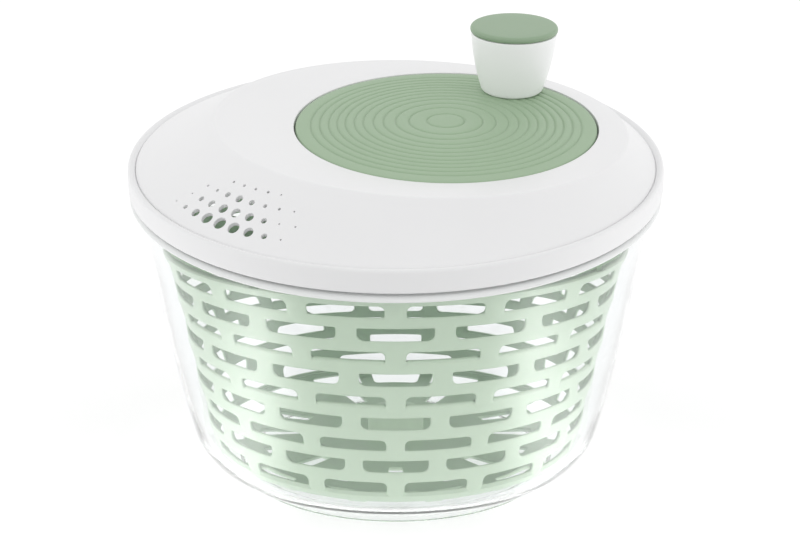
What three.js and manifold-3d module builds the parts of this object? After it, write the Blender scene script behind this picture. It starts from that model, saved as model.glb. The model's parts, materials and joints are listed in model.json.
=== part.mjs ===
// Salad spinner with a slanted lid: clear bowl, slotted basket, geared crank disc and knob.
// Millimetres, +Z up, origin at the middle of the bowl's foot, the low side of the lid toward -Y.
import * as THREE from 'three';
import { mergeVertices } from 'three/addons/utils/BufferGeometryUtils.js';
import Module from 'manifold-3d';

const wasm = await Module();
wasm.setup();

// ---- driving dimensions ----
const SEG = 40;              // facets of the lid, and of the bowl and discs
const BOWL_SEG = 36;
const RIM_R = 130;           // largest radius, the lid's flange
const TILT = 12.2 * Math.PI / 180;   // slant of the lid's top plane
const TOP_Z = 161;           // height of that plane on the bowl's axis
const SKIRT_H = 9.4;         // upright depth of the lid's skirt under the slanted plane
const BEAD_H = 14.1;         // the same, to the underside of the bowl's rim bead
const CREST_R = 100, CREST_U = 12.2; // the raised edge round the crank, and its offset
const DISC_R = 73.2, DISC_U = 24.4;    // crank disc and its offset from the axis
const DISC_W = 15.25;        // disc's rim above the slanted plane
const CUP_R = 44.5;          // gear cup under the disc
const BASKET_COLS = 16;      // slots in a row
const BASKET_ROWS = 9;
const ROW_TOP = 114.7, ROW_PITCH = 10.98, SLOT_H = 5.8;
const SLOT_HALF = 8.8;       // half the angle of a slot, degrees
const RING_TEETH = 45, PINION_TEETH = 12;
const PIN_V = -3.8;          // pinion axle's place down the slope
const JOINT_Z = 143;         // where the slanted axle meets the upright one
const KNOB_U = 59.7, KNOB_V = 45.6;
const GEAR_C = Math.hypot(DISC_U, PIN_V);
const MODULE_T = 2 * GEAR_C / (RING_TEETH - PINION_TEETH);
const MESH_ANGLE = Math.atan2(PIN_V, -DISC_U);

const st = Math.sin(TILT), ct = Math.cos(TILT);
const deg = (a) => a * Math.PI / 180;

// ---- materials ----
const mat = (color, roughness, metalness = 0) => new THREE.MeshStandardMaterial({ color, roughness, metalness });
const white = () => mat(0xf1f1ef, 0.42);   // moulded white lid plastic
const sage = () => mat(0x9eb59a, 0.55);
const pom = () => mat(0xe6e4dc, 0.45);
const steel = () => mat(0xb9bcc0, 0.28, 1);
const clear = () => mat(0xeef2f2, 0.08);
const mint = () => mat(0xbfd3b8, 0.4);

// ---- mesh helpers ----
function solid(geometry) {
  const g = geometry.clone();
  g.deleteAttribute('normal'); g.deleteAttribute('uv');
  const m = mergeVertices(g, 1e-4);
  return new wasm.Manifold(new wasm.Mesh({ numProp: 3,
    vertProperties: new Float32Array(m.attributes.position.array),
    triVerts: new Uint32Array(m.index.array) }));
}

function toGeometry(manifold) {
  const m = manifold.getMesh();
  const g = new THREE.BufferGeometry();
  g.setAttribute('position', new THREE.BufferAttribute(new Float32Array(m.vertProperties), 3));
  g.setIndex(new THREE.BufferAttribute(new Uint32Array(m.triVerts), 1));
  g.computeVertexNormals();
  return g;
}

function fromTriangles(tris) {
  const pos = new Float32Array(tris.length * 9);
  tris.forEach((t, i) => t.forEach((p, j) => pos.set(p, i * 9 + j * 3)));
  const raw = new THREE.BufferGeometry();
  raw.setAttribute('position', new THREE.BufferAttribute(pos, 3));
  const g = mergeVertices(raw, 1e-4);
  const keep = [];
  const ix = g.index.array;
  for (let i = 0; i < ix.length; i += 3) {
    const [a, b, c] = [ix[i], ix[i + 1], ix[i + 2]];
    if (a !== b && b !== c && a !== c) keep.push(a, b, c);
  }
  g.setIndex(keep);
  g.computeVertexNormals();
  return g;
}

// Lathe about +Z from [radius, height] pairs that run from the lower axis end outward and up.
function lathe(profile, segments = 24) {
  const g = new THREE.LatheGeometry(profile.map(([r, z]) => new THREE.Vector2(r, z)), segments);
  g.rotateX(Math.PI / 2);
  return g;
}

// Closed loop profile (a ring with a bore), same winding.
const ring = (profile, segments) => lathe([...profile, profile[0]], segments);

function cylinder(r, z0, z1, u = 0, v = 0, segments = 12) {
  const g = new THREE.CylinderGeometry(r, r, z1 - z0, segments);
  g.rotateX(Math.PI / 2);
  g.translate(u, v, (z0 + z1) / 2);
  return g;
}

function block(w, d, h, x, y, z, turn = 0) {
  const g = new THREE.BoxGeometry(w, d, h);
  g.translate(x, y, z);
  g.rotateZ(turn);
  return g;
}

const unite = (list) => list.map(solid).reduce((a, b) => a.add(b));
const cut = (body, list) => list.map(solid).reduce((a, b) => a.subtract(b), body);

// Loft through a list of rings, each a function of the angle; the last ring joins the first.
function loft(rings, segments = SEG) {
  const pts = rings.map((f) => Array.from({ length: segments }, (_, j) => f(2 * Math.PI * j / segments)));
  const tris = [];
  pts.forEach((a, i) => {
    const b = pts[(i + 1) % pts.length];
    for (let j = 0; j < segments; j++) {
      const k = (j + 1) % segments;
      tris.push([a[j], a[k], b[k]], [a[j], b[k], b[j]]);
    }
  });
  return fromTriangles(tris);
}

// Ring in the slanted plane: radius, height over the plane, offset across.
const slanted = (r, w, u = 0) => (q) => {
  const v = r * Math.sin(q);
  return [u + r * Math.cos(q), v * ct - w * st, TOP_Z + v * st + w * ct];
};

// Ring of the slanted plane let straight down, as the skirt and the bowl's rim are, so that the lid lifts off upright.
const dropped = (r, h) => (q) => [r * Math.cos(q), r * Math.sin(q) * ct, TOP_Z + r * Math.sin(q) * st - h];

// Level ring about the upright axis.
const level = (r, z) => (q) => [r * Math.cos(q), r * Math.sin(q), z];

// The crest: a ring that falls a little toward the back and the right.
const crestW = (u, v) => 16.85 - 0.0388 * (u - CREST_U) - 0.0339 * v;
const crest = (r, drop, edge = 0) => (q) => {
  const cu = CREST_U + CREST_R * Math.cos(q), cv = CREST_R * Math.sin(q);
  const fu = 125.4 * Math.cos(q), fv = 125.4 * Math.sin(q);
  const u = cu + (fu - cu) * edge + (r - CREST_R) * Math.cos(q);
  const v = cv + (fv - cv) * edge + (r - CREST_R) * Math.sin(q);
  const w = crestW(cu, cv) * (1 - edge) + 0.4 * edge - drop;
  return [u, v * ct - w * st, TOP_Z + v * st + w * ct];
};

// ---- bowl side ----
// The wall is level rings low down, and meets a rim that is cut at the lid's slant.
function bowl() {
  const outside = [[0, 5], [75, 5], [76.6, 0], [79, 0], [80.6, 4.4], [85, 5.2], [91.5, 8.4], [96, 12.2], [99.8, 17.6],
    [102.2, 22.6], [106.4, 39], [109.4, 52], [112, 65], [114.6, 77], [118.7, 100]];
  const inside = [[116.7, 100], [112.6, 77], [107.4, 52], [104.4, 39], [100, 23.4], [97.6, 18.8], [94, 14.2],
    [89.5, 10.8], [80, 7.8], [12, 7.6], [6, 9.8], [6, 24], [0, 24]];
  const rim = [[125.2, BEAD_H], [128.9, BEAD_H], [129.8, 13.3], [129.2, 12.2], [128, 11.5], [126.4, 11.3],
    [126.3, 5.4], [124.4, 5.4], [123.2, BEAD_H]];
  const rings = [...outside.map((p) => level(...p)), ...rim.map((p) => dropped(...p)), ...inside.map((p) => level(...p))];
  return toGeometry(unite([loft(rings, BOWL_SEG), block(15, 2, 13.4, 0, 0, 15.4)]));
}

function basketBush() {
  const body = solid(ring([[6.4, 10.4], [15.5, 10.4], [15.5, 12.2], [12, 12.2], [12, 25.2], [6.4, 25.2]], 24));
  return toGeometry(cut(body, [block(15.8, 2.8, 20, 0, 0, 16)]));
}

const wallR = (z) => 97.3 + (z - 37.8) * 0.2;

function basket() {
  const rows = [];
  const out = (r, z, r2, z2, win = 0) => rows.push({ o: [r, z], i: [r2, z2], win });
  out(113.9, 119, 108, 119);
  out(113.8, 117.2, 108, 117.2);
  out(113.2, 115.8, 111.2, 116.6);
  for (let k = 0; k < BASKET_ROWS; k++) {
    const top = ROW_TOP - k * ROW_PITCH;
    out(wallR(top), top, wallR(top) - 2, top, k % 2 ? 1 : 2);
    out(wallR(top - SLOT_H), top - SLOT_H, wallR(top - SLOT_H) - 2, top - SLOT_H);
  }
  out(92.6, 17, 90.8, 18.4);
  out(90, 14.2, 88.6, 16.2);
  out(76, 12.8, 76, 14.8, 3);
  out(46, 13.2, 46, 15.2);
  out(12.4, 12.6, 15.2, 17.5);
  out(12.4, 26, 14.4, 28);
  out(0, 26, 0, 28);
  const pitch = 360 / BASKET_COLS, half = pitch / 2;
  const marks = [-(half - SLOT_HALF), half - SLOT_HALF, SLOT_HALF, pitch - SLOT_HALF];
  const angles = [];
  for (let c = 0; c < BASKET_COLS; c++) marks.forEach((m) => angles.push(deg(c * pitch + m - 90)));
  const n = angles.length;
  // sector 0 is the rib of odd rows' offset, 2 the rib of even rows; 1 and 3 lie between
  const open = (i, j) => {
    const w = rows[i].win, s = j % 4;
    if (w === 1) return s !== 2;
    if (w === 2) return s !== 0;
    if (w === 3) return s === 1 || s === 3;
    return false;
  };
  const P = ([r, z], a) => [r * Math.cos(a), r * Math.sin(a), z];
  const tris = [];
  const quad = (a, b, c, d) => tris.push([a, b, c], [a, c, d]);
  const solidCell = (i, j) => i >= 0 && i < rows.length - 1 && !open(i, (j + n) % n);
  for (let i = 0; i < rows.length - 1; i++) {
    for (let j = 0; j < n; j++) {
      if (!solidCell(i, j)) continue;
      const a = angles[j], b = angles[(j + 1) % n];
      const [t, d] = [rows[i], rows[i + 1]];
      quad(P(t.o, a), P(d.o, a), P(d.o, b), P(t.o, b));
      quad(P(t.i, a), P(t.i, b), P(d.i, b), P(d.i, a));
      if (!solidCell(i - 1, j)) quad(P(t.o, a), P(t.o, b), P(t.i, b), P(t.i, a));
      if (i < rows.length - 2 && !solidCell(i + 1, j)) quad(P(d.o, a), P(d.i, a), P(d.i, b), P(d.o, b));
      if (!solidCell(i, j - 1)) quad(P(t.o, a), P(t.i, a), P(d.i, a), P(d.o, a));
      if (!solidCell(i, j + 1)) quad(P(t.o, b), P(d.o, b), P(d.i, b), P(t.i, b));
    }
  }
  const notches = Array.from({ length: 8 }, (_, k) => block(5.6, 5.4, 6, 108.9, 0, 118, deg(45 * k + 11.25)));
  return toGeometry(cut(solid(fromTriangles(tris)), notches));
}

// ---- lid ----
function lidRim() {
  return loft([[129.3, 9.9], [RIM_R, SKIRT_H], [RIM_R, 0.3], [129.3, -0.5], [128.4, -0.5], [127, 0.5], [126.65, 1],
    [126.65, 2.8], [121.3, 2.8], [121.3, 13.6], [122.8, 13.6], [122.8, 5], [127.3, 5], [127.3, 9.9]].map((p) => dropped(...p)));
}

// [radius about the lid's centre, first angle, angles' step, hole diameters] of each row of drain holes
const DRAIN = [
  [119.3, -51.6, [2.3, 4.2, 5.6, 6, 5.6, 4.7, 2.8]],
  [113.3, -49.6, [2.8, 3.7, 4.7, 4.7, 4.2, 2.8]],
  [107.4, -43.5, [2.8, 3.7, 2.8, 1.9]],
];

// Height and slope of the cover's outer face over a point of the slanted plane.
function faceAt(u, v) {
  let q = Math.atan2(v, u), e = 0.5;
  for (let i = 0; i < 20; i++) {
    const cu = CREST_U + CREST_R * Math.cos(q), cv = CREST_R * Math.sin(q);
    const du = 125.4 * Math.cos(q) - cu, dv = 125.4 * Math.sin(q) - cv;
    e = ((u - cu) * du + (v - cv) * dv) / (du * du + dv * dv);
    q += Math.atan2(v, u) - Math.atan2(cv + e * dv, cu + e * du);
  }
  const cu = CREST_U + CREST_R * Math.cos(q), cv = CREST_R * Math.sin(q);
  const rise = crestW(cu, cv) - 0.4;
  return [0.4 + rise * (1 - e), Math.atan2(rise, Math.hypot(125.4 * Math.cos(q) - cu, 125.4 * Math.sin(q) - cv))];
}

function drainHoles() {
  const holes = [];
  DRAIN.forEach(([r, first, sizes]) => sizes.forEach((d, k) => {
    const a = deg(first + 3.93 * k - 90);
    const [u, v] = [r * Math.cos(a), r * Math.sin(a)];
    const [w, slope] = faceAt(u, v);
    holes.push(cylinder(d / 2, -5, 5, 0, 0, 8).rotateY(slope).rotateZ(a).translate(u, v, w));
  }));
  return holes;
}

const CARRIER_SCREWS = [[-17.5, -2], [-2.5, 14.6], [-2.5, -17.8]];
const place = (g) => g.rotateX(TILT).translate(0, 0, TOP_Z);

function lidTop() {
  const body = loft([
    dropped(126.3, 2.45), dropped(126.3, 0.5), dropped(125.4, -0.4),
    crest(CREST_R, 0.1, 0.05), crest(CREST_R - 1.6, 0.5), slanted(DISC_R + 1, DISC_W, DISC_U),
    slanted(DISC_R + 1, 10.4, DISC_U), slanted(CUP_R, 10.4, DISC_U), slanted(CUP_R, -1, DISC_U),
    slanted(8.2, -1, DISC_U), slanted(8.2, -3.4, DISC_U), slanted(CUP_R + 2.2, -3.4, DISC_U),
    slanted(CUP_R + 2.2, 8.2, DISC_U), slanted(DISC_R + 3.2, 8.2, DISC_U), slanted(DISC_R + 3.6, DISC_W - 3, DISC_U),
    crest(CREST_R - 1.6, 2.7), dropped(123.6, 1.1), dropped(124.1, 2.45),
  ]);
  const bores = [cylinder(3.15, -5, 2, 0, PIN_V, 16), ...drainHoles(),
    ...CARRIER_SCREWS.map(([u, v]) => cylinder(1.5, -5, -1.6, u, v, 8))];
  return toGeometry(cut(solid(body), bores.map(place)));
}

// ---- crank, in the slanted frame about the disc's own axis ----
const dome = (r) => DISC_W + 1.3 * (1 - (r / DISC_R) ** 2);
const KNOB_R = [KNOB_U - DISC_U, KNOB_V];
const RING_SCREWS = [0, 1, 2].map((k) => [39.7 * Math.cos(deg(70 + 120 * k)), 39.7 * Math.sin(deg(70 + 120 * k))]);

function crankDisc() {
  const top = [58, 32, 0].map((r) => [r, dome(r)]);
  const body = solid(lathe([[0, -4], [5.4, -4], [5.4, 10.8], [DISC_R - 0.6, 10.8], [DISC_R, 11.4], [DISC_R, DISC_W - 0.8],
    [DISC_R - 0.7, DISC_W], ...top], BOWL_SEG));
  const bores = [cylinder(2.2, -5, 7, 0, 0, 10), cylinder(3.3, 11.9, 20, ...KNOB_R, 12),
    ...RING_SCREWS.map(([u, v]) => cylinder(1.5, 9, 13.4, u, v, 8))];
  return toGeometry(cut(body, bores));
}

function gearOutline(teeth, radius, inward, phase) {
  const pitch = 2 * Math.PI / teeth, points = [];
  const tip = radius + (inward ? -0.75 : 0.75) * MODULE_T;
  const root = radius + (inward ? 1.15 : -1.15) * MODULE_T;
  for (let k = 0; k < teeth; k++) {
    [[-0.31, root], [-0.13, tip], [0.13, tip], [0.31, root]].forEach(([f, r]) => {
      const a = phase + (k + f) * pitch;
      points.push(new THREE.Vector2(r * Math.cos(a), r * Math.sin(a)));
    });
  }
  return points;
}

function ringGear() {
  const shape = new THREE.Shape();
  shape.absarc(0, 0, 42.6, 0, 2 * Math.PI, false);
  shape.holes.push(new THREE.Path(gearOutline(RING_TEETH, MODULE_T * RING_TEETH / 2, true,
    MESH_ANGLE + Math.PI / RING_TEETH)));
  const g = new THREE.ExtrudeGeometry(shape, { depth: 9.3, bevelEnabled: false, curveSegments: 36 });
  g.translate(0, 0, 1.1);
  return toGeometry(cut(solid(g), RING_SCREWS.map(([u, v]) => cylinder(1.6, 0, 12, u, v, 8))));
}

function screw(headR, shankR, headH, length, up = 1) {
  const s = [[0, 0], [headR, 0], [headR, headH], [shankR, headH], [shankR, headH + length], [0, headH + length]];
  return lathe(s, 10);
}

// ---- drive ----
function drivePinion() {
  const shape = new THREE.Shape(gearOutline(PINION_TEETH, MODULE_T * PINION_TEETH / 2, false, MESH_ANGLE));
  const gear = new THREE.ExtrudeGeometry(shape, { depth: 7.8, bevelEnabled: false });
  gear.translate(0, 0, 0.4);
  const ball = (JOINT_Z - TOP_Z) * ct;
  const axle = lathe([[0, ball - 1.5], [2.8, ball - 1.5], [2.8, 1], [0, 1]], 12);
  const head = lathe([[0, ball - 3.4], [3, ball - 3.4], [4.3, ball - 1.4], [4.45, ball], [4.3, ball + 1.4],
    [2.9, ball + 3.4], [0, ball + 3.4]], 6);
  return toGeometry(unite([gear, axle, head]));
}

const CARRIER_U = -5, CARRIER_V = -2;
function driverCarrier() {
  const plate = place(cylinder(19.5, -6.2, -3.7, CARRIER_U, CARRIER_V, 32));
  const tube = ring([[8.4, 134], [13, 134], [13, 158], [8.4, 158]], 24);
  const above = place(new THREE.BoxGeometry(80, 80, 20).translate(0, 0, 6.3));
  const bores = [above, cylinder(10.8, 146.2, 170, 0, 0, 24),
    ...CARRIER_SCREWS.map(([u, v]) => place(cylinder(1.7, -9, 0, u, v, 8)))];
  return toGeometry(cut(unite([plate, tube]), bores));
}

function driverDisc() {
  const body = solid(lathe([[0, 120], [112.4, 120], [112.4, 122.2], [16, 122.2], [9.5, 124.4], [8, 127], [8, 146.5],
    [7.2, 146.5], [7.2, 147.6], [8, 147.6], [8, 148.6], [0, 148.6]], 32));
  const lugs = Array.from({ length: 8 }, (_, k) => block(2.8, 4.4, 4.2, 109.6, 0, 118.6, deg(45 * k + 11.25)));
  const holes = [];
  for (let k = 0; k < 6; k++) {
    const a = deg(60 * k + 30);
    holes.push(cylinder(11, 110, 123.5, 42 * Math.cos(a), 42 * Math.sin(a), 10));
    holes.push(cylinder(17, 110, 123.5, 84 * Math.cos(a), 84 * Math.sin(a), 12));
  }
  const socket = cylinder(5.3, 136.5, 150, 0, 0, 6);
  return toGeometry(cut(unite([toGeometry(body), ...lugs]), [socket, ...holes]));
}

// ---- assembly ----
const spinner = new THREE.Group();
const slope = new THREE.Group();
slope.position.set(0, 0, TOP_Z);
slope.rotation.x = TILT;
const crank = new THREE.Group();
crank.position.set(DISC_U, 0, 0);
slope.add(crank);
spinner.add(slope);

function add(parent, name, geometry, material, x = 0, y = 0, z = 0) {
  const mesh = new THREE.Mesh(geometry, material);
  mesh.name = name;
  mesh.position.set(x, y, z);
  parent.add(mesh);
}

add(spinner, 'bowl', bowl(), clear());
add(spinner, 'basket_bush', basketBush(), pom());
add(spinner, 'basket', basket(), mint());
add(spinner, 'lid_rim', lidRim(), white());
add(spinner, 'lid_top', lidTop(), white());

add(crank, 'crank_disc', crankDisc(), sage());
add(crank, 'ring_gear', ringGear(), pom());
RING_SCREWS.forEach(([u, v], k) => add(crank, `ring_gear_screw_${k + 1}`, screw(2.3, 1.2, 1.2, 11.6), steel(), u, v, -0.4));
add(crank, 'crank_bush', ring([[5.75, -3.9], [7.85, -3.9], [7.85, -0.65], [10.5, -0.65], [10.5, 0.3], [5.75, 0.3]], 20), pom());
add(crank, 'crank_washer', ring([[2.3, -5.5], [9.4, -5.5], [9.4, -4.4], [2.3, -4.4]], 20), steel());
add(crank, 'crank_screw', screw(4, 1.8, 2, 12), steel(), 0, 0, -7.8);

add(crank, 'knob_axle', lathe([[0, 12.2], [3, 12.2], [3, 44.1], [4.6, 44.1], [4.6, 45.7], [3.8, 46.3], [0, 46.3]], 12),
  steel(), ...KNOB_R);
add(crank, 'knob_washer', ring([[3.3, 43.1], [6, 43.1], [6, 43.8], [3.3, 43.8]], 12), steel(), ...KNOB_R);
add(crank, 'knob_body', ring([[3.4, 16.5], [14.9, 16.2], [15.8, 16.9], [18.5, 26], [20.6, 36], [21.7, 47],
  [19.9, 47], [18.8, 36], [16.6, 26], [14.4, 19], [6.2, 19], [6.2, 42.8], [3.4, 42.8]], 20), white(), ...KNOB_R);
add(crank, 'knob_cap', lathe([[0, 47.3], [17.6, 47.3], [17.6, 44.2], [19.3, 44.2], [19.3, 47.3], [21.6, 47.3],
  [22.1, 48], [22.1, 49.3], [21.4, 50.1], [0, 50.4]], 20), sage(), ...KNOB_R);

add(slope, 'drive_pinion', drivePinion(), pom(), 0, PIN_V, 0);
add(slope, 'pinion_washer', ring([[3.1, -0.65], [6.2, -0.65], [6.2, 0.1], [3.1, 0.1]], 16), steel(), 0, PIN_V, 0);
add(spinner, 'driver_carrier', driverCarrier(), white());
CARRIER_SCREWS.forEach(([u, v], k) => add(slope, `carrier_screw_${k + 1}`, screw(2.6, 1.2, 1.3, 4.3), steel(), u, v, -7.8));
add(spinner, 'driver_disc', driverDisc(), sage());
add(spinner, 'driver_clip', ring([[7.45, 146.65], [10.2, 146.65], [10.2, 147.45], [7.45, 147.45]], 20), steel());

export default spinner;
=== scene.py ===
"""Salad spinner with a slanted lid: fine surfaces, finishes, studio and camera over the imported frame."""
import json
import math

import bmesh
import bpy
import numpy as np
from mathutils import Matrix, Vector

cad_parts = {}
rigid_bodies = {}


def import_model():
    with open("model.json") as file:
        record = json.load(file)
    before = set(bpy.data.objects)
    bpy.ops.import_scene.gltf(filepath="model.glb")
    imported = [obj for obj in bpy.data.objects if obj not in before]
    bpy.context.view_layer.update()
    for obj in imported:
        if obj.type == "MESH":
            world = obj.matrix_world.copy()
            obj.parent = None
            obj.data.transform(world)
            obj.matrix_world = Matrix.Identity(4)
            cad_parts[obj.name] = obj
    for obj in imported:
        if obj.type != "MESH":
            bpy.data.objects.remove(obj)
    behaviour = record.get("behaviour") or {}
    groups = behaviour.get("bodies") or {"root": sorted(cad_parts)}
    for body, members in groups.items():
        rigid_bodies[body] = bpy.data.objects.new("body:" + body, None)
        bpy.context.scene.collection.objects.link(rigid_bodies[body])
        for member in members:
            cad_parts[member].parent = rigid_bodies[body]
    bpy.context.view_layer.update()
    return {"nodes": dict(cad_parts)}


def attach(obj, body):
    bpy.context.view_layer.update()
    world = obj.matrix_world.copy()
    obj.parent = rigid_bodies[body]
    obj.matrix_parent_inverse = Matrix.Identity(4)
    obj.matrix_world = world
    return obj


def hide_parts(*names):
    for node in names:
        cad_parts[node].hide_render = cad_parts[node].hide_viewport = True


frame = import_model()

# ---- sizes, millimetres, as the frame has them ----
MM = 0.001
TILT = math.radians(12.2)
TOP_Z, RIM_R = 161.0, 130.0           # middle and radius of the lid's slanted plane
FACE_R, FACE_W = 125.4, 0.4           # outer edge of the cover's face, and its height over that plane
CREST_R, CREST_U = 100.0, 12.2        # raised edge round the crank, and its offset
CREST_W, FALL_U, FALL_V = 16.85, 0.0388, 0.0339    # its height, and how that falls across and up the slope
DISC_R, DISC_U, DISC_W = 73.2, 24.4, 15.25
DISC_CROWN = 1.3
CUP_R = 44.5
KNOB_U, KNOB_V = 59.7, 45.6
WALL_R, WALL_Z, WALL_FLARE = 97.3, 37.8, 0.2       # the basket's wall: a radius, its height, its flare
WALL_TOP, WALL_FOOT, WALL_THICK = 114.9, 20.5, 1.9
PITCH, SLOT_HALF = 22.5, 8.8          # degrees
ROW_TOP, ROW_PITCH, SLOT_H, ROWS = 114.7, 10.98, 5.8, 9
ROW_GAP = ROW_PITCH - SLOT_H
RIPPLES = (9.2, 18, 24.4, 30.4, 35.3, 40.2, 44.5, 48.9, 52.9, 57, 61.4, 65.7)
# a ripple's cross-section: distance from its middle, depth
RIPPLE_CUT = ((1.1, 0.0), (0.6, 0.12), (0.22, 0.56), (0.0, 0.66), (-0.22, 0.56), (-0.6, 0.12), (-1.1, 0.0))
# drain holes: radius, first angle from the low side, diameters at steps of DRAIN_STEP degrees
DRAIN_STEP = 3.93
DRAIN = ((119.3, -55.5, (0.9, 2.3, 4.2, 5.6, 6.0, 5.6, 4.7, 2.8, 0.9)),
         (113.3, -53.5, (0.9, 2.8, 3.7, 4.7, 4.7, 4.2, 2.8, 0.9, 0.9)),
         (107.4, -51.3, (1.2, 1.6, 2.8, 3.7, 2.8, 1.9, 1.4, 0.9)),
         (101.6, -44.8, (1.3, 1.4, 1.4, 1.4, 0.9)))
SIN, COS = math.sin(TILT), math.cos(TILT)
SLOPE = Matrix.Translation((0, 0, TOP_Z * MM)) @ Matrix.Rotation(TILT, 4, "X")


# ---------------------------------------------------------------- mesh tools
def piece(name, verts, faces, finish, body, nodes, sharp=40):
    """A new mesh object with a finish, riding on a body and standing for CAD nodes."""
    mesh = bpy.data.meshes.new(name)
    mesh.from_pydata([tuple(v) for v in verts], [], faces)
    return adopt(name, mesh, finish, body, nodes, sharp)


def adopt(name, mesh, finish, body, nodes, sharp=40):
    """Shades a mesh, gives it a finish if it has none, and puts it in the scene on its body."""
    mesh.validate()
    mesh.update()
    if not mesh.materials:
        mesh.materials.append(finish)
    mesh.shade_smooth()
    mesh.set_sharp_from_angle(angle=math.radians(sharp))
    obj = bpy.data.objects.new(name, mesh)
    bpy.context.scene.collection.objects.link(obj)
    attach(obj, body)
    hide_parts(*nodes)
    return obj


CORNER_STEPS = 5


def soften(rings, radii, closed=True):
    """Rounds the profile's corners: each ring with a radius becomes a run of rings on a small curve."""
    out, count = [], len(rings)
    for i, (ring, radius) in enumerate(zip(rings, radii)):
        ends = not closed and i in (0, count - 1)
        if radius <= 0 or ends:
            out.append(ring)
            continue
        before, after = rings[i - 1] - ring, rings[(i + 1) % count] - ring
        la = np.linalg.norm(before, axis=1, keepdims=True) + 1e-12
        lb = np.linalg.norm(after, axis=1, keepdims=True) + 1e-12
        a = ring + before / la * np.minimum(radius, 0.48 * la)
        b = ring + after / lb * np.minimum(radius, 0.48 * lb)
        for k in range(CORNER_STEPS):
            t = k / (CORNER_STEPS - 1)
            out.append((1 - t) ** 2 * a + 2 * t * (1 - t) * ring + t * t * b)
    return out


def weave_faces(ring_count, n, closed):
    """Faces between neighbouring rings of n points each."""
    faces = []
    for i in range(ring_count if closed else ring_count - 1):
        a, b = i * n, ((i + 1) % ring_count) * n
        faces += [(a + j, a + (j + 1) % n, b + (j + 1) % n, b + j) for j in range(n)]
    return faces


def loft(rings):
    """Vertices (metres) and faces of a closed loop of rings given in millimetres."""
    n = len(rings[0])
    return np.concatenate(rings) * MM, weave_faces(len(rings), n, True)


def turned(profile, n, centre, closed=False):
    """A solid turned about an axis square to the lid's slope, from (radius, height[, rounding]) in
    millimetres. An open profile starts and ends on the axis, and a closed one is a ring with a bore."""
    q = np.linspace(0, 2 * math.pi, n, endpoint=False)
    rings, radii = [], []
    for p in profile:
        r = max(p[0], 1e-6)
        rings.append(np.stack([r * np.cos(q), r * np.sin(q), np.full(n, float(p[1]))], 1))
        radii.append(p[2] if len(p) > 2 else 0)
    rings = soften(rings, radii, closed)
    faces = weave_faces(len(rings), n, closed)
    verts = np.concatenate(rings)
    verts[:, 0] += centre[0]
    verts[:, 1] += centre[1]
    verts *= MM
    m = np.array(SLOPE)
    verts = verts @ m[:3, :3].T + m[:3, 3]
    if closed:
        return verts, faces
    bm = bmesh.new()
    made = [bm.verts.new(v) for v in verts]
    for f in faces:
        bm.faces.new([made[i] for i in f])
    bmesh.ops.remove_doubles(bm, verts=bm.verts, dist=2e-8)
    bm.verts.index_update()
    verts = [tuple(v.co) for v in bm.verts]
    faces = [tuple(v.index for v in f.verts) for f in bm.faces]
    bm.free()
    return verts, faces


N = 240                                # points in a ring about the upright axis, and their angles
Q = np.linspace(0, 2 * math.pi, N, endpoint=False)


def level(r, z):
    """A level ring about the upright axis."""
    return np.stack([r * np.cos(Q), r * np.sin(Q), np.full(N, float(z))], 1)


def slanted(r, w, u=0.0):
    """A ring in the lid's slanted plane, or w over it."""
    v = r * np.sin(Q)
    return np.stack([u + r * np.cos(Q), v * COS - w * SIN, TOP_Z + v * SIN + w * COS], 1)


def dropped(r, h):
    """A ring of the slanted plane let straight down, as the skirt and the bowl's rim are."""
    v = r * np.sin(Q)
    return np.stack([r * np.cos(Q), v * COS, TOP_Z + v * SIN - h], 1)


def capped(rings):
    """Vertices and faces of rings whose first and last shrink to a point on the axis."""
    verts = np.concatenate([rings[0][:1]] + list(rings[1:-1]) + [rings[-1][:1]]) * MM
    count = len(rings) - 2
    faces = [(0, 1 + (j + 1) % N, 1 + j) for j in range(N)]
    for i in range(count - 1):
        a, b = 1 + i * N, 1 + (i + 1) * N
        faces += [(a + j, a + (j + 1) % N, b + (j + 1) % N, b + j) for j in range(N)]
    a, top = 1 + (count - 1) * N, 1 + count * N
    faces += [(a + j, a + (j + 1) % N, top) for j in range(N)]
    return verts, faces


def merged(*parts):
    """Vertices and faces of several shapes as one."""
    verts, faces = [], []
    for vs, fs in parts:
        base = len(verts)
        verts += [tuple(v) for v in vs]
        faces += [tuple(i + base for i in f) for f in fs]
    return verts, faces


def block(size, centre):
    """A small box in millimetres."""
    ends = ((-1, -1, -1), (1, -1, -1), (1, 1, -1), (-1, 1, -1),
            (-1, -1, 1), (1, -1, 1), (1, 1, 1), (-1, 1, 1))
    verts = [tuple((centre[i] + d[i] * size[i] / 2) * MM for i in range(3)) for d in ends]
    return verts, [(0, 3, 2, 1), (4, 5, 6, 7), (0, 1, 5, 4), (1, 2, 6, 5), (2, 3, 7, 6), (3, 0, 4, 7)]


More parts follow.
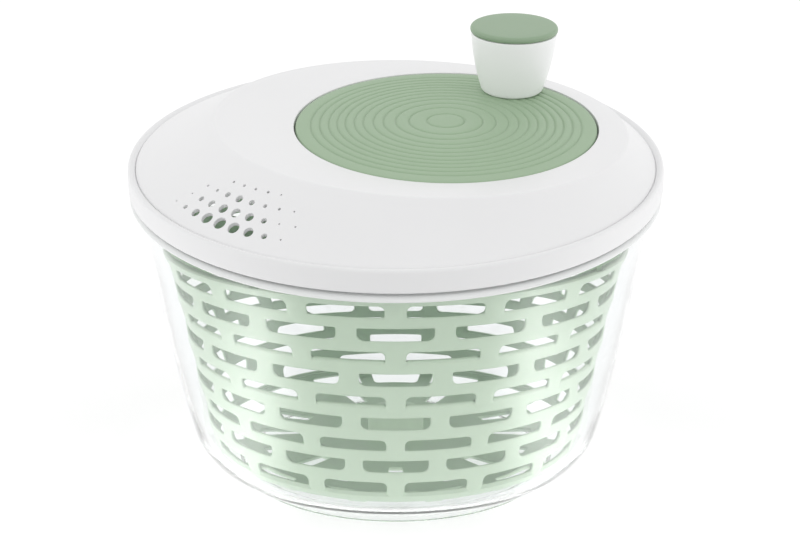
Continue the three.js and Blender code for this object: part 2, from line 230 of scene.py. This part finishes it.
# ---------------------------------------------------------------- geometry node trees
class Graph:
    """A geometry node tree with named inputs."""

    def __init__(self, name, inputs):
        self.tree = bpy.data.node_groups.new(name, "GeometryNodeTree")
        face = self.tree.interface
        self.ids = {}
        for label, kind, value in [("Geometry", "NodeSocketGeometry", None)] + inputs:
            item = face.new_socket(label, in_out="INPUT", socket_type=kind)
            if value is not None:
                item.default_value = value
            self.ids[label] = item.identifier
        face.new_socket("Geometry", in_out="OUTPUT", socket_type="NodeSocketGeometry")
        self.source = self.tree.nodes.new("NodeGroupInput")
        self.sink = self.tree.nodes.new("NodeGroupOutput")

    def given(self, label):
        return self.source.outputs[label]

    def add(self, kind, inputs=None, **settings):
        node = self.tree.nodes.new(kind)
        for key, value in settings.items():
            setattr(node, key, value)
        for key, value in (inputs or {}).items():
            if isinstance(value, bpy.types.NodeSocket):
                self.tree.links.new(value, node.inputs[key])
            else:
                node.inputs[key].default_value = value
        return node.outputs[0]

    def close(self, geometry):
        real = self.add("GeometryNodeRealizeInstances", {"Geometry": geometry})
        done = self.add("GeometryNodeSetMaterial", {"Geometry": real, "Material": self.given("Finish")})
        self.tree.links.new(done, self.sink.inputs[0])


def copies_about_axis():
    """Copies of the incoming mesh turned about the upright axis, welded where they meet."""
    g = Graph("copies_about_axis", [("Count", "NodeSocketInt", 8), ("Weld", "NodeSocketFloat", 0.00002),
                                    ("Finish", "NodeSocketMaterial", None)])
    points = g.add("GeometryNodeMeshLine", {"Count": g.given("Count"), "Offset": (0, 0, 0)},
                   mode="OFFSET")
    index = g.add("GeometryNodeInputIndex")
    part = g.add("ShaderNodeMath", {0: index, 1: g.given("Count")}, operation="DIVIDE")
    angle = g.add("ShaderNodeMath", {0: part, 1: 2 * math.pi}, operation="MULTIPLY")
    turn = g.add("ShaderNodeCombineXYZ", {"Z": angle})
    euler = g.add("FunctionNodeEulerToRotation", {0: turn})
    ring = g.add("GeometryNodeInstanceOnPoints",
                 {"Points": points, "Instance": g.given("Geometry"), "Rotation": euler})
    real = g.add("GeometryNodeRealizeInstances", {"Geometry": ring})
    weld = g.add("GeometryNodeMergeByDistance", {"Geometry": real, "Distance": g.given("Weld")})
    g.close(weld)
    return g


def pegs_on_points():
    """A peg at every point, as wide as the point's diameter value and turned by its turn value."""
    g = Graph("pegs_on_points", [("Length", "NodeSocketFloat", 0.02), ("Sides", "NodeSocketInt", 24),
                                 ("Finish", "NodeSocketMaterial", None)])
    peg = g.add("GeometryNodeMeshCylinder",
                {"Vertices": g.given("Sides"), "Radius": 0.5, "Depth": g.given("Length")}, fill_type="NGON")
    wide = g.add("GeometryNodeInputNamedAttribute", {"Name": "diameter"}, data_type="FLOAT")
    scale = g.add("ShaderNodeCombineXYZ", {"X": wide, "Y": wide, "Z": 1.0})
    turn = g.add("GeometryNodeInputNamedAttribute", {"Name": "turn"}, data_type="FLOAT_VECTOR")
    euler = g.add("FunctionNodeEulerToRotation", {0: turn})
    pegs = g.add("GeometryNodeInstanceOnPoints",
                 {"Points": g.given("Geometry"), "Instance": peg, "Scale": scale, "Rotation": euler})
    g.close(pegs)
    return g


def grown(name, mesh, graph, **inputs):
    """The plain mesh that a tree makes of a mesh."""
    obj = bpy.data.objects.new(name + "_seed", mesh)
    bpy.context.scene.collection.objects.link(obj)
    mod = obj.modifiers.new("grow", "NODES")
    mod.node_group = graph.tree
    for label, value in inputs.items():
        mod[graph.ids[label]] = value
    bpy.context.view_layer.update()
    made = bpy.data.meshes.new_from_object(obj.evaluated_get(bpy.context.evaluated_depsgraph_get()))
    obj.modifiers.remove(mod)
    bpy.data.objects.remove(obj)
    made.name = name
    return made


# ---------------------------------------------------------------- finishes
class Wire:
    """A shader socket that takes part in sums; each operation adds one Math node."""

    def __init__(self, finish, socket):
        self.finish, self.socket = finish, socket

    def _sum(self, operation, a, b):
        return self.finish.node("ShaderNodeMath", {"operation": operation}, {0: a, 1: b})

    def __add__(self, other): return self._sum("ADD", self, other)
    def __radd__(self, other): return self._sum("ADD", other, self)
    def __sub__(self, other): return self._sum("SUBTRACT", self, other)
    def __rsub__(self, other): return self._sum("SUBTRACT", other, self)
    def __mul__(self, other): return self._sum("MULTIPLY", self, other)
    def __rmul__(self, other): return self._sum("MULTIPLY", other, self)
    def __truediv__(self, other): return self._sum("DIVIDE", self, other)
    def __rtruediv__(self, other): return self._sum("DIVIDE", other, self)
    def __pow__(self, other): return self._sum("POWER", self, other)
    def __rpow__(self, other): return self._sum("POWER", other, self)
    def above(self, floor): return self._sum("MAXIMUM", self, floor)
    def held(self): return self.finish.node("ShaderNodeClamp", {}, {0: self})


class Finish:
    """A node tree of shading: a procedural material, or the sky."""

    def __init__(self, name, tree=None, seen="Object"):
        if tree is None:
            self.material = bpy.data.materials.new(name)
            self.material.use_nodes = True
            tree = self.material.node_tree
        self.tree = tree
        self.tree.nodes.clear()
        self.place = self.node("ShaderNodeTexCoord", out=seen)

    def node(self, kind, settings=None, inputs=None, out=0):
        node = self.tree.nodes.new(kind)
        for key, value in (settings or {}).items():
            setattr(node, key, value)
        for key, value in (inputs or {}).items():
            if isinstance(value, Wire):
                self.tree.links.new(value.socket, node.inputs[key])
            else:
                node.inputs[key].default_value = value
        return Wire(self, node.outputs[out])

    def noise(self, scale, detail, rough=0.5):
        return self.node("ShaderNodeTexNoise", {}, {"Vector": self.place, "Scale": scale, "Detail": detail,
                                                    "Roughness": rough}, out="Fac")

    def parts(self):
        """The three components of the place."""
        return [self.node("ShaderNodeSeparateXYZ", {}, {0: self.place}, out=k) for k in range(3)]

    def grey(self, value):
        return self.node("ShaderNodeCombineXYZ", {}, {0: value, 1: value, 2: value})

    def blend(self, factor, a, b):
        return self.node("ShaderNodeMix", {"data_type": "RGBA"}, {0: factor, 6: a, 7: b}, out=2)

    def tint(self, factor, low, high):
        return self.blend(factor, (*low, 1), (*high, 1))

    def bump(self, height, strength, distance):
        return self.node("ShaderNodeBump", {}, {"Height": height, "Strength": strength, "Distance": distance})

    def surface(self, **inputs):
        names = {key.replace("_", " "): value for key, value in inputs.items()}
        shader = self.node("ShaderNodeBsdfPrincipled", {}, names)
        out = self.tree.nodes.new("ShaderNodeOutputMaterial")
        self.tree.links.new(shader.socket, out.inputs["Surface"])
        return self.material


GRAIN_DEPTH = 0.00006                  # metres


def moulding_marks(f):
    """A faint cloud, the fine spark-eroded grain and the flow marks of moulded plastic."""
    return f.noise(22.0, 3.0), f.noise(2600.0, 2.0), f.noise(160.0, 3.0, 0.6)


def moulded(name, low, high, rough, grain=0.35, **extra):
    """Satin moulded plastic between two colours."""
    f = Finish(name)
    cloud, fine, flow = moulding_marks(f)
    colour = f.tint((cloud * 0.7 + flow * 0.3).held(), low, high)
    gloss = rough - 0.04 + cloud * 0.05 + fine * 0.05
    relief = f.bump(fine * 0.6 + flow * 0.4, grain, GRAIN_DEPTH)
    return f.surface(Base_Color=colour, Roughness=gloss, Normal=relief, **extra)


def mint_with_painted_glow(name):
    """Mint plastic with a painted glow, brighter on its outward faces, that stands in for light through the
    thin wall; its inward faces are painted a darker green as shade.
    """
    f = Finish(name)
    cloud, fine, flow = moulding_marks(f)
    facing = f.node("ShaderNodeTexCoord", out="Normal")
    round_about = f.node("ShaderNodeVectorMath", {"operation": "MULTIPLY"}, {0: f.place, 1: (1, 1, 0)})
    outward = f.node("ShaderNodeVectorMath", {"operation": "NORMALIZE"}, {0: round_about})
    side = f.node("ShaderNodeVectorMath", {"operation": "DOT_PRODUCT"}, {0: facing, 1: outward}, out="Value")
    outer = (side * 2.5 + 0.3).held()
    # painted light and shade: outward faces get the pale lit mint, inward faces the darker shaded mint
    painted_lit_mint = f.tint((cloud * 0.7 + flow * 0.3).held(), (0.54, 0.68, 0.51), (0.60, 0.73, 0.57))
    painted_shade_mint = f.tint(cloud, (0.40, 0.54, 0.40), (0.45, 0.58, 0.44))
    colour = f.blend(outer, painted_shade_mint, painted_lit_mint)
    # painted glow, strongest on the outward faces, standing in for light through the wall
    painted_glow = f.tint(outer, (0.035, 0.050, 0.035), (0.145, 0.172, 0.138))
    return f.surface(Base_Color=colour, Roughness=0.28 + cloud * 0.05, Emission_Color=painted_glow,
                     Emission_Strength=1.0, Normal=f.bump(fine * 0.6 + flow * 0.4, 0.2, GRAIN_DEPTH))


def clear_plastic(name):
    """Clear glossy bowl plastic with a faint scuff and a slow waviness."""
    f = Finish(name)
    cloud = f.noise(14.0, 2.0)
    scratch = f.noise(900.0, 4.0, 0.7)
    colour = f.tint(cloud, (0.925, 0.938, 0.942), (0.945, 0.955, 0.958))
    relief = f.bump(f.noise(60.0, 2.0), 0.02, 0.0001)
    # the faint white emission is a painted glow that lifts the clear bowl
    return f.surface(Base_Color=colour, Roughness=0.002 + scratch * 0.012, Normal=relief, IOR=1.22,
                     Transmission_Weight=1.0, Coat_Weight=1.0, Coat_Roughness=0.04,
                     Emission_Color=(0.97, 1, 0.98, 1), Emission_Strength=0.012)


def steel(name):
    """Turned stainless steel: fine rings of tool marks and a soft cloud."""
    f = Finish(name)
    cloud = f.noise(90.0, 3.0)
    marks = f.noise(4200.0, 1.0)
    colour = f.tint(cloud, (0.50, 0.51, 0.52), (0.64, 0.65, 0.66))
    return f.surface(Base_Color=colour, Metallic=1.0, Roughness=0.24 + marks * 0.14,
                     Normal=f.bump(marks, 0.2, 0.00002))


WHITE = moulded("lid_white", (0.80, 0.80, 0.805), (0.83, 0.83, 0.835), 0.40)
# painted light: the knob's white is paler than the lid's and glows faintly, to brighten the knob
KNOB_WHITE_PAINTED_LIGHT = moulded("knob_white_painted_light", (0.85, 0.85, 0.855), (0.87, 0.87, 0.875), 0.34,
                     Emission_Color=(1, 1, 1, 1), Emission_Strength=0.08)
SAGE = moulded("crank_sage", (0.305, 0.422, 0.278), (0.335, 0.456, 0.308), 0.46, grain=0.5)
CAP_SAGE = moulded("cap_sage", (0.255, 0.358, 0.236), (0.28, 0.388, 0.26), 0.42, grain=0.4)
MINT = mint_with_painted_glow("basket_mint")
# a much deeper green than the crank's sage: partly painted shade, matching the dark green seen through the
# drain holes
DRIVER_SAGE = moulded("driver_sage", (0.15, 0.34, 0.13), (0.18, 0.38, 0.155), 0.45)
ACETAL = moulded("acetal_natural", (0.70, 0.69, 0.65), (0.76, 0.75, 0.71), 0.38)
STEEL = steel("turned_steel")
CLEAR = clear_plastic("bowl_clear")
BEAD = moulded("bowl_bead", (0.80, 0.815, 0.81), (0.84, 0.85, 0.845), 0.30, grain=0.2)


# ---------------------------------------------------------------- bowl
def bowl_shell():
    """Rings of (radius, height, rounding): level low down, and cut at the lid's slant at the rim and its
    bead, where the height is the depth under the slanted plane."""
    outside = [(1e-6, 5), (73.5, 5, 1.5), (76.4, 0.3, 0.8), (79, 0, 0.8), (80.6, 4.4, 1.5), (85, 5.2, 2),
               (91.5, 8.4, 4), (96, 12.2, 4), (99.9, 17.7, 3), (102.4, 23, 4), (106.4, 39, 8),
               (109.4, 52, 6), (112, 65, 6), (114.6, 77, 6), (118.7, 100, 8)]
    rim = [(125.2, 14.1, 0.5), (128.9, 14.1, 0.6), (129.8, 13.3, 0.7), (129.2, 12.2, 0.8),
           (128, 11.5, 0.6), (126.4, 11.3, 0.5), (126.3, 5.4, 0.5), (124.4, 5.4, 0.5), (123.2, 14.1, 1)]
    inside = [(116.7, 100, 8), (112.6, 77, 6), (107.4, 52, 6), (104.4, 39, 6), (100, 23.4, 5),
              (97.6, 18.8, 3), (94, 14.2, 4), (89.5, 10.8, 4), (80, 7.8, 3), (12, 7.6, 3), (6, 9.8, 1.5),
              (6, 24, 0.9), (1e-6, 24)]
    rings = [(level(p[0], p[1]), *p[2:]) for p in outside] + [(dropped(p[0], p[1]), *p[2:]) for p in rim]
    rings += [(level(p[0], p[1]), *p[2:]) for p in inside]
    shell = capped(soften([r[0] for r in rings], [r[1] if len(r) > 1 else 0 for r in rings], False))
    fin = block((15, 2, 13.4), (0, 0, 15.4))           # keys the basket's bush on the spigot
    verts, faces = merged(shell, fin)
    bowl = piece("bowl_shell", verts, faces, CLEAR, "bowl", ["bowl"], sharp=50)
    bowl.data.materials.append(BEAD)
    bead_r, bead_top, bead_foot = 126.2, 10.9, 14.3    # it stands out under the skirt and is moulded matt
    for face in bowl.data.polygons:
        x, y, z = face.center / MM
        v = y / COS
        if math.hypot(x, v) > bead_r and bead_top < TOP_Z + v * SIN - z < bead_foot:
            face.material_index = 1


# ---------------------------------------------------------------- basket
def wall_r(z):
    return WALL_R + (z - WALL_Z) * WALL_FLARE


# the outside of the basket from rim to hub: radius, height; and the distance run along it to each point
PROFILE = [(108, 118.1), (112.6, 118.1), (113.4, 117.6), (113.3, 116.4), (wall_r(WALL_TOP), WALL_TOP),
           (wall_r(WALL_FOOT), WALL_FOOT), (93.0, 18.4), (92, 16.3), (90.2, 14.7), (87.6, 13.7),
           (76, 12.9), (46, 13.2), (15.2, 12.8), (13.4, 12.9), (12.5, 13.8), (12.4, 25), (12.1, 25.8),
           (11, 26), (0.0, 26)]
RUN = np.concatenate([[0], np.cumsum(np.hypot(*np.diff(np.array(PROFILE), axis=0).T))])


def run_at(z):
    """Distance along the profile at a height on the wall."""
    a, b = RUN[4], RUN[5]
    return a + (wall_r(WALL_TOP) - wall_r(z)) / (wall_r(WALL_TOP) - wall_r(WALL_FOOT)) * (b - a)


def step_back(s, z):
    """How far the wall is set back under the slots of every second row, where the ribs run on and
    fade out."""
    row = (ROW_TOP - z) / ROW_PITCH
    phase = row % 2
    over = SLOT_H / ROW_PITCH
    if row < 0 or row > ROWS - 0.3 or phase < over or phase > 1 + over:
        return 0.0
    if phase < 1.0:                        # the band under the first, third, fifth row and so on
        off = (s - PITCH / 2) % PITCH
        inside = min(1.0, max(0.0, (SLOT_HALF + 0.5 - min(off, PITCH - off)) / 0.7))
        fade = min(1.0, (phase - over) / 0.30)
        return 0.9 * max(inside, fade)
    t = (phase - 1.0) / over               # beside the slots of the rows between
    return 0.9 * (1 - t * t * (3 - 2 * t))


def on_basket(s, t):
    """A point of the outer wall: s degrees round from the low side, t millimetres along the profile."""
    r, z = np.interp(t, RUN, [p[0] for p in PROFILE]), np.interp(t, RUN, [p[1] for p in PROFILE])
    if RUN[4] < t < RUN[5]:                # each band stands nearly upright and the next one steps in
        rung, step = ((ROW_TOP - z) / ROW_PITCH) % 1.0, 0.55
        r += step * min(1.0, max(0.0, (rung - 0.55) / 0.45)) - step * min(1.0, rung / 0.5) + 0.3
        r -= step_back(s, z)
    a = math.radians(s - 90)
    return (r * math.cos(a) * MM, r * math.sin(a) * MM, z * MM)


def slot_cell(verts, faces, s0, t_top, t_bottom, hole, down=6):
    """A panel of the basket between two runs of the profile, with one slot in it.
    hole is (half width in degrees, top, bottom, top rounding, bottom rounding), in profile runs."""
    half, across = PITCH / 2, 24
    border = [(-half + PITCH * i / across, t_top) for i in range(across)]
    border += [(half, t_top + (t_bottom - t_top) * i / down) for i in range(down)]
    border += [(half - PITCH * i / across, t_bottom) for i in range(across)]
    border += [(-half, t_bottom - (t_bottom - t_top) * i / down) for i in range(down)]
    hw, a, b, ra, rb = hole
    per_mm = math.degrees(1 / np.interp((a + b) / 2, RUN, [p[0] for p in PROFILE]))

    def corner(p, inset):
        """Pulls a point on the slot's box in to its rounded corner and keeps the order round the slot."""
        x, y = p
        h = hw - inset * per_mm
        top, low = a + inset, b - inset
        x = max(-h, min(h, x / half * h * 1.02))
        y = max(top, min(low, top + (y - t_top) / (t_bottom - t_top) * (low - top)))
        radius = ra if y < (a + b) / 2 else rb
        cx = (h - radius * per_mm) * (1 if x > 0 else -1)
        cy = top + radius if y < (a + b) / 2 else low - radius
        dx, dy = (x - cx) / per_mm, y - cy
        if (x > 0) == (dx > 0) and dx and ((y < (a + b) / 2) == (dy < 0)) and dy:
            n = math.hypot(dx, dy)
            x, y = cx + dx / n * radius * per_mm, cy + dy / n * radius
        return x, y

    lip_width, lip_sink = 0.55, 0.25
    edge = [corner(p, 0.0) for p in border]
    lip = [corner(p, -lip_width) for p in border]
    mid = [((l[0] * 0.45 + p[0] * 0.55), (l[1] * 0.45 + p[1] * 0.55)) for l, p in zip(lip, border)]
    base, n = len(verts), len(border)
    for k, loop in enumerate((border, mid, lip, edge)):
        for x, y in loop:
            v = Vector(on_basket(s0 + x, y))
            if k == 3:
                v -= Vector((v.x, v.y, 0)).normalized() * lip_sink * MM
            verts.append(tuple(v))
    for k in range(3):
        for i in range(n):
            j = (i + 1) % n
            a, b = base + k * n, base + (k + 1) * n
            faces.append((a + i, b + i, b + j, a + j))


BAND_COLUMNS = 48
NOTCH_COLUMNS = (22, 23, 24, 25)       # the ones that a rim notch takes out


def band(verts, faces, runs, skip=None):
    """A plain strip of the basket, two slots wide, over some runs of the profile."""
    base, n = len(verts), BAND_COLUMNS + 1
    for t in runs:
        verts += [on_basket(-PITCH / 2 + 2 * PITCH * i / BAND_COLUMNS, t) for i in range(n)]
    for k in range(len(runs) - 1):
        for i in range(BAND_COLUMNS):
            if skip and skip(k, i):
                continue
            a = base + k * n + i
            faces.append((a, a + n, a + n + 1, a + 1))


def basket():
    """An eighth of the wall with two slots in each row, copied round and then thickened."""
    verts, faces = [], []
    first = run_at(ROW_TOP + ROW_GAP / 2)
    band(verts, faces, [*RUN[:3], first], skip=lambda k, i: k < 2 and i in NOTCH_COLUMNS)
    for row in range(ROWS):
        top = ROW_TOP - row * ROW_PITCH
        t0, t1 = run_at(top + ROW_GAP / 2), run_at(top - SLOT_H - ROW_GAP / 2)
        shifted = row % 2 == 0
        roundings = (2.6, 0.5) if shifted else (0.5, 3.0)
        hole = (SLOT_HALF, run_at(top), run_at(top - SLOT_H), *roundings)
        for k in range(2):
            slot_cell(verts, faces, k * PITCH + (PITCH / 2 if shifted else 0), t0, t1, hole)
    last = run_at(ROW_TOP - ROWS * ROW_PITCH + ROW_GAP / 2)
    hole = (SLOT_HALF, RUN[7] + 0.4, RUN[10] - 2.5, 0.6, 3.0)
    for k in range(2):                     # the last row lies in the curve under the wall
        slot_cell(verts, faces, k * PITCH, last, RUN[10], hole, down=10)
    hole = (4.0, RUN[10] + 6, RUN[11] - 3, 1.6, 1.2)
    for k in range(2):                     # narrow slots run along the floor
        slot_cell(verts, faces, k * PITCH, RUN[10], RUN[11], hole)
    band(verts, faces, [RUN[11], (RUN[11] + RUN[12]) / 2] + list(RUN[12:]))
    seed = bpy.data.meshes.new("basket_stave")
    seed.from_pydata(verts, [], faces)
    mesh = grown("basket_wall", seed, copies_about_axis(), Count=8, Finish=MINT)
    obj = adopt("basket_wall", mesh, MINT, "basket", ["basket"], sharp=35)
    wall = obj.modifiers.new("wall", "SOLIDIFY")
    wall.thickness, wall.offset = WALL_THICK * MM, -1.0


# ---------------------------------------------------------------- lid
def crest(r, drop, edge=0.0):
    """A ring along the crest, or a share of the way down the face from it to the cover's edge."""
    cu, cv = CREST_U + CREST_R * np.cos(Q), CREST_R * np.sin(Q)
    fu, fv = FACE_R * np.cos(Q), FACE_R * np.sin(Q)
    u = cu + (fu - cu) * edge + (r - CREST_R) * np.cos(Q)
    v = cv + (fv - cv) * edge + (r - CREST_R) * np.sin(Q)
    high = CREST_W - FALL_U * (cu - CREST_U) - FALL_V * cv
    w = high * (1 - edge) + FACE_W * edge - drop
    return np.stack([u, v * COS - w * SIN, TOP_Z + v * SIN + w * COS], 1)


def lid_skirt():
    """The skirt with the ledge for the cover, and the flange inside it that centres the lid."""
    rings = [((129.3, 9.8), 0.5), ((RIM_R, 9.3), 0.6), ((RIM_R, 0.4), 0.8), ((129.4, -0.55), 0.7),
             ((128.3, -0.5), 0.7), ((127, 0.35), 0.5), ((126.4, 0.9), 0.2), ((126.4, 2.8), 0),
             ((121.3, 2.8), 0.3), ((121.3, 13.6), 0.5), ((122.8, 13.6), 0.5), ((122.8, 5), 0.3),
             ((127.3, 5), 0.4), ((127.3, 9.8), 0.5)]
    verts, faces = loft(soften([dropped(*r) for r, _ in rings], [k for _, k in rings]))
    piece("lid_skirt", verts, faces, WHITE, "lid", ["lid_rim"], sharp=38)


def face_at(u, v):
    """Height and slope of the cover's outer face over a point of the slanted plane."""
    q = math.atan2(v, u)
    for _ in range(20):
        cu, cv = CREST_U + CREST_R * math.cos(q), CREST_R * math.sin(q)
        du, dv = FACE_R * math.cos(q) - cu, FACE_R * math.sin(q) - cv
        e = ((u - cu) * du + (v - cv) * dv) / (du * du + dv * dv)
        q += math.atan2(v, u) - math.atan2(cv + e * dv, cu + e * du)
    rise = CREST_W - FALL_U * (CREST_R * math.cos(q)) - FALL_V * CREST_R * math.sin(q) - FACE_W
    return FACE_W + rise * (1 - e), math.atan2(rise, math.hypot(du, dv))


def drain_pegs():
    """Pegs nearly square to the sloping face where the drain holes go, placed in the slanted frame."""
    points, sizes, turns = [], [], []
    for r, first, row in DRAIN:
        for k, d in enumerate(row):
            a = math.radians(first + DRAIN_STEP * k - 90)
            u, v = r * math.cos(a), r * math.sin(a)
            w, slope = face_at(u, v)
            points.append((u * MM, v * MM, w * MM))
            sizes.append(d * MM)
            turns.append((0.0, slope * 0.7, a))
    seed = bpy.data.meshes.new("drain_points")
    seed.from_pydata(points, [], [])
    seed.attributes.new("diameter", "FLOAT", "POINT").data.foreach_set("value", sizes)
    turn = seed.attributes.new("turn", "FLOAT_VECTOR", "POINT")
    turn.data.foreach_set("vector", np.array(turns).ravel())
    mesh = grown("drain_pegs", seed, pegs_on_points(), Length=0.010, Sides=20, Finish=WHITE)
    mesh.transform(SLOPE)
    return mesh


def lid_cover():
    """The slanted cover, from its edge over the crest into the recess and cup, and back underneath."""
    outside = [(dropped(126.3, 2.45), 0.2), (dropped(126.3, 0.7), 0.5), (dropped(FACE_R, -FACE_W), 0.8),
               (crest(CREST_R, 0.35, 0.66), 0), (crest(CREST_R, 0.35, 0.33), 0),
               (crest(CREST_R + 0.2, 0), 1.0)]
    rings = outside + [(slanted(r, w, DISC_U), k) for r, w, k in (
        (DISC_R + 0.75, DISC_W + 0.1, 0.35), (DISC_R + 0.6, 10.4, 0.3), (CUP_R, 10.4, 0.6), (CUP_R, -1, 0.8),
        (8.2, -1, 0), (8.2, -3.4, 0), (CUP_R + 2.2, -3.4, 0.8), (CUP_R + 2.2, 8.2, 0.6),
        (DISC_R + 3.2, 8.2, 0.6), (DISC_R + 3.6, DISC_W - 3, 0.6))]
    rings += [(crest(CREST_R - 1.4, 2.5), 2), (dropped(124.0, 0.9), 0.6), (dropped(124.1, 2.45), 0.2)]
    verts, faces = loft(soften([r for r, _ in rings], [k for _, k in rings]))
    plain = bpy.data.meshes.new("lid_plain")
    plain.from_pydata([tuple(v) for v in verts], [], faces)
    plain.materials.append(WHITE)
    body = bpy.data.objects.new("lid_plain", plain)
    tool = bpy.data.objects.new("drain_tool", drain_pegs())
    for o in (body, tool):
        bpy.context.scene.collection.objects.link(o)
    cut = body.modifiers.new("drain", "BOOLEAN")
    cut.operation, cut.solver, cut.object = "DIFFERENCE", "EXACT", tool
    bpy.context.view_layer.update()
    mesh = bpy.data.meshes.new_from_object(body.evaluated_get(bpy.context.evaluated_depsgraph_get()))
    body.modifiers.remove(cut)
    for o in (body, tool):
        bpy.data.objects.remove(o)
    adopt("lid_cover", mesh, WHITE, "lid", ["lid_top"], sharp=32)


# ---------------------------------------------------------------- crank and knob
def dome(r):
    """Height of the disc's domed top at a radius."""
    return DISC_W + DISC_CROWN * (1 - (r / DISC_R) ** 2)


def crank_plate():
    top = [(DISC_R - 0.6, DISC_W, 0.5)]
    for g in reversed(RIPPLES):
        for off, depth in RIPPLE_CUT:
            top.append((g + off, dome(g + off) - depth))
        top.append((max(g - 2.4, 0.5), dome(g - 2.4) + 0.06))
    top.append((0, dome(0)))
    under = [(0, -4), (5.4, -4, 0.4), (5.4, 10.8, 0.3), (DISC_R - 0.7, 10.8, 0.4), (DISC_R, 11.5, 0.4),
             (DISC_R, DISC_W - 0.7, 0.6)]
    verts, faces = turned(under + top, 256, (DISC_U, 0))
    piece("crank_plate", verts, faces, SAGE, "crank", ["crank_disc"], sharp=60)


def knob():
    grip = [(3.4, 16.5, 0.3), (14.6, 16.15, 0.5), (15.7, 17.0, 0.8), (17.2, 21.5, 3), (18.9, 28, 4),
            (20.3, 35, 4), (21.2, 41.5, 4), (21.75, 46.9, 0.4), (19.9, 46.9, 0.4), (18.8, 36, 3),
            (16.6, 26, 3), (14.4, 19, 1.2), (6.2, 19, 1), (6.2, 42.8, 0.4), (3.4, 42.8, 0.3)]
    verts, faces = turned(grip, 128, (KNOB_U, KNOB_V), closed=True)
    piece("knob_grip", verts, faces, KNOB_WHITE_PAINTED_LIGHT, "knob", ["knob_body"])
    cap = [(0, 47.3), (17.6, 47.3, 0.3), (17.6, 44.2, 0.4), (19.3, 44.2, 0.4), (19.3, 47.3, 0.2),
           (21.5, 47.25, 0.3), (22.1, 47.8, 0.5), (22.1, 49.2, 0.9), (21.2, 50.2, 0.9), (12, 50.35, 3),
           (0, 50.35)]
    verts, faces = turned(cap, 128, (KNOB_U, KNOB_V))
    piece("knob_lid", verts, faces, CAP_SAGE, "knob", ["knob_cap"])


# ---------------------------------------------------------------- carried-over nodes
def dress(material, *nodes):
    """Gives nodes that stay as the frame has them a finish."""
    for n in nodes:
        slots = frame["nodes"][n].data.materials
        slots.clear()
        slots.append(material)


def inside_works():
    dress(STEEL, "crank_washer", "crank_screw", "knob_axle", "knob_washer", "pinion_washer", "driver_clip",
          *(f"ring_gear_screw_{k}" for k in (1, 2, 3)), *(f"carrier_screw_{k}" for k in (1, 2, 3)))
    dress(ACETAL, "ring_gear", "drive_pinion", "crank_bush", "basket_bush")
    dress(WHITE, "driver_carrier")
    dress(DRIVER_SAGE, "driver_disc")


# ---------------------------------------------------------------- studio
E = 2.718                              # base of the soft falls of the table's light


def sky():
    """A soft even sky, brighter low down and most so at the sides."""
    world = bpy.data.worlds.new("studio_sky")
    world.use_nodes = True
    f = Finish("studio_sky", world.node_tree, seen="Generated")
    x, _, z = f.parts()
    low = 1.0 - z.above(0.0)
    side = (x * x) ** 1.5 * low
    right = x.above(0.0) * low
    glow = 0.955 + low * low * 0.17 + side * 0.26 + right * 0.14
    lit = f.node("ShaderNodeBackground", {}, {"Color": f.grey(glow), "Strength": 1.0})
    out = f.tree.nodes.new("ShaderNodeOutputWorld")
    f.tree.links.new(lit.socket, out.inputs["Surface"])
    bpy.context.scene.world = world


def studio():
    """A glowing table, brighter in two soft strips at the sides and under the bowl, and a soft sky."""
    f = Finish("studio_floor")
    cloud = f.noise(1.5, 1.0)
    x, y, _ = f.parts()
    far = (x * x) ** 0.5
    across = (y + far * 0.68) / (far * 0.36 + 0.008)
    reach = (x * x + y * y) ** 0.5
    along = (reach - 0.205) / 0.10
    strips = E ** (0.0 - across * across) * E ** (0.0 - along * along * along * along)
    near = reach / 0.125
    under = E ** (0.0 - near * near * near * near)
    fade = ((y + 0.24) / 0.09).held()
    glow = 0.24 + fade * 0.40 + strips * 1.6 + under * 0.20
    soft_white = f.surface(Base_Color=f.tint(cloud, (0.38, 0.38, 0.38), (0.40, 0.40, 0.40)), Roughness=0.9,
                           Specular_IOR_Level=0.1, Emission_Color=f.grey(glow), Emission_Strength=1.0)
    mesh = bpy.data.meshes.new("studio_floor")
    half, front, back, z = 9, -4, 14, -0.0004
    mesh.from_pydata([(-half, front, z), (half, front, z), (half, back, z), (-half, back, z)], [],
                     [(0, 1, 2, 3)])
    mesh.materials.append(soft_white)
    floor = bpy.data.objects.new("studio_floor", mesh)
    bpy.context.scene.collection.objects.link(floor)
    sky()
    bpy.context.scene.view_settings.view_transform = "Standard"


def camera():
    """Looks down at the object's axis from in front, at a pitch, a distance and a height aimed at."""
    pitch, reach, aim_z = math.radians(14.807), 0.72572, 0.09876
    cam = bpy.data.cameras.new("product_camera")
    cam.sensor_width, cam.lens, cam.shift_x = 36.0, 65.01915, 0.0053625
    obj = bpy.data.objects.new("product_camera", cam)
    obj.location = (0, -math.cos(pitch) * reach, aim_z + math.sin(pitch) * reach)
    obj.rotation_euler = (math.pi / 2 - pitch, 0, 0)
    bpy.context.scene.collection.objects.link(obj)
    bpy.context.scene.camera = obj


camera()
studio()
bowl_shell()
basket()
lid_skirt()
lid_cover()
crank_plate()
knob()
inside_works()
